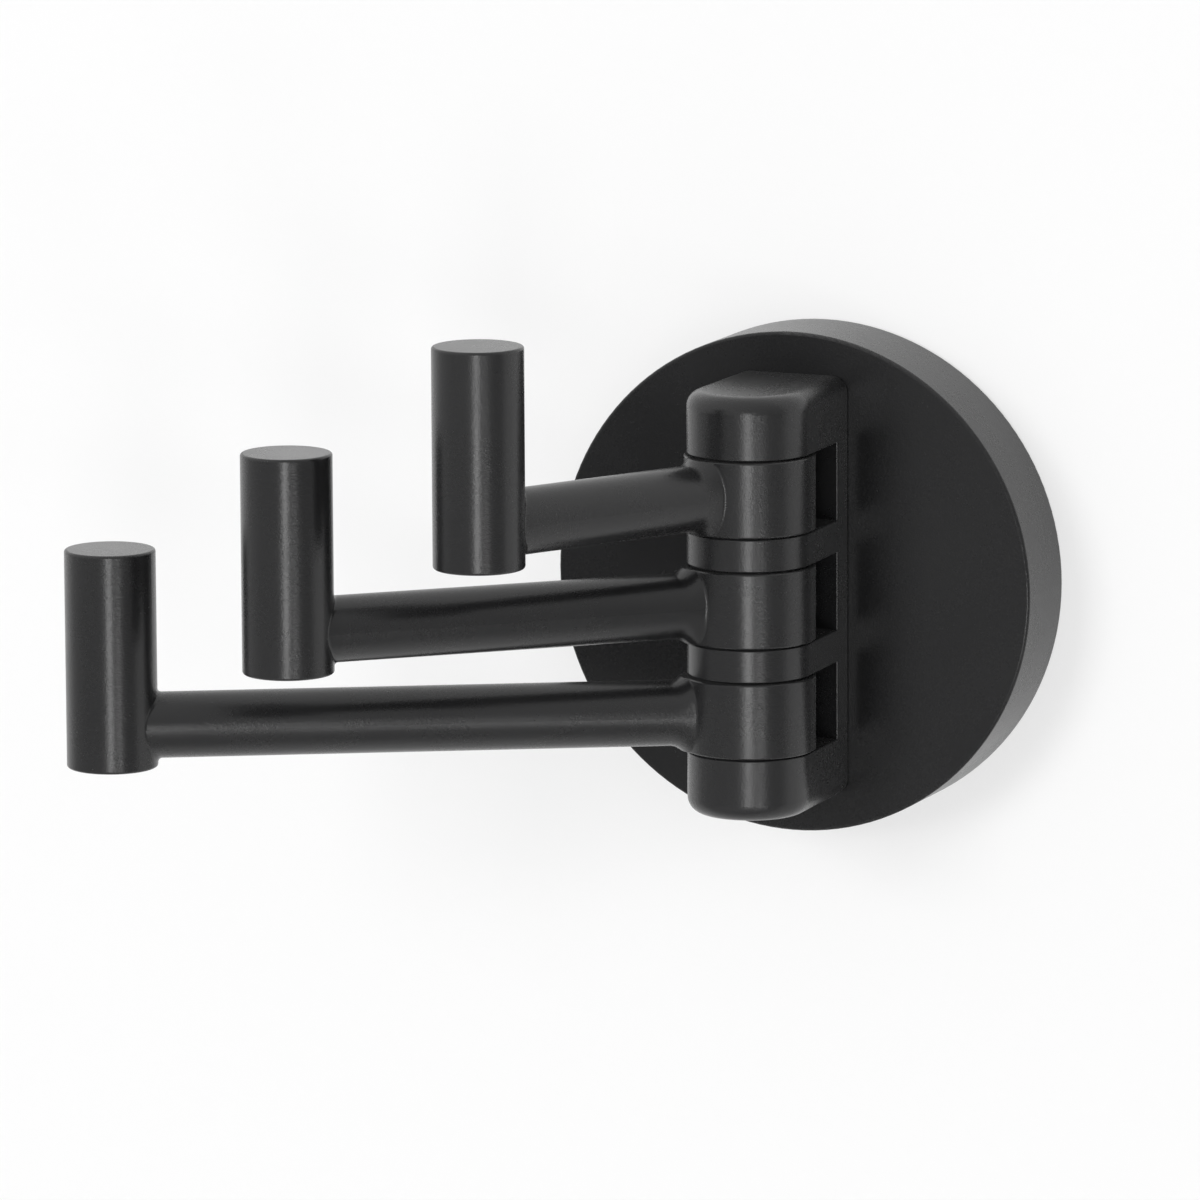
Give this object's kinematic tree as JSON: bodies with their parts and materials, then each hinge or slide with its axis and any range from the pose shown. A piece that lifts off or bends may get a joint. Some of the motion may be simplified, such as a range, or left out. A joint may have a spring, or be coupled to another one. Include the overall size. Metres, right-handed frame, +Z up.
{
  "type": "swivel robe hook",
  "caption": "Wall-mounted robe hook: round cover plate, D-shaped pivot bracket and swing arms of stepped lengths, each with an upright round peg.",
  "frame": {"origin": "centre of the cover plate's back face, on the wall plane", "axes": "+Y into the wall, +Z up, +X to the right of someone who faces the wall"},
  "size_m": [0.108, 0.0723, 0.0684],
  "materials": {
    "powder_coat": "satin black powder coat with a fine grain",
    "cast_zinc": "bare cast zinc",
    "steel": "turned steel",
    "black_steel": "black oxide steel",
    "nylon": "black nylon"
  },
  "bodies": {
    "mounting": {"cover_plate": "powder_coat", "wall_bracket": "cast_zinc", "cover_set_screw": "black_steel", "pivot_bracket": "powder_coat", "bracket_screws": "steel", "pivot_pin": "black_steel"},
    "arm_top": {"knuckle_top": "powder_coat", "bar_top": "powder_coat", "peg_top": "powder_coat", "bush_top_upper": "nylon", "bush_top_lower": "nylon"},
    "arm_middle": {"knuckle_middle": "powder_coat", "bar_middle": "powder_coat", "peg_middle": "powder_coat", "bush_middle_upper": "nylon", "bush_middle_lower": "nylon"},
    "arm_bottom": {"knuckle_bottom": "powder_coat", "bar_bottom": "powder_coat", "peg_bottom": "powder_coat", "bush_bottom_upper": "nylon", "bush_bottom_lower": "nylon"}
  },
  "joints": [
    {"name": "swing_top", "type": "hinge", "parent": "mounting", "child": "arm_top", "pos_m": [0, -0.0261, 0.014], "axis": [0, 0, 1], "range_deg": [-74, 134]},
    {"name": "swing_middle", "type": "hinge", "parent": "mounting", "child": "arm_middle", "pos_m": [0, -0.0261, 0], "axis": [0, 0, 1], "range_deg": [-56, 152]},
    {"name": "swing_bottom", "type": "hinge", "parent": "mounting", "child": "arm_bottom", "pos_m": [0, -0.0261, -0.014], "axis": [0, 0, 1], "range_deg": [-42.5, 165.5]}
  ]
}
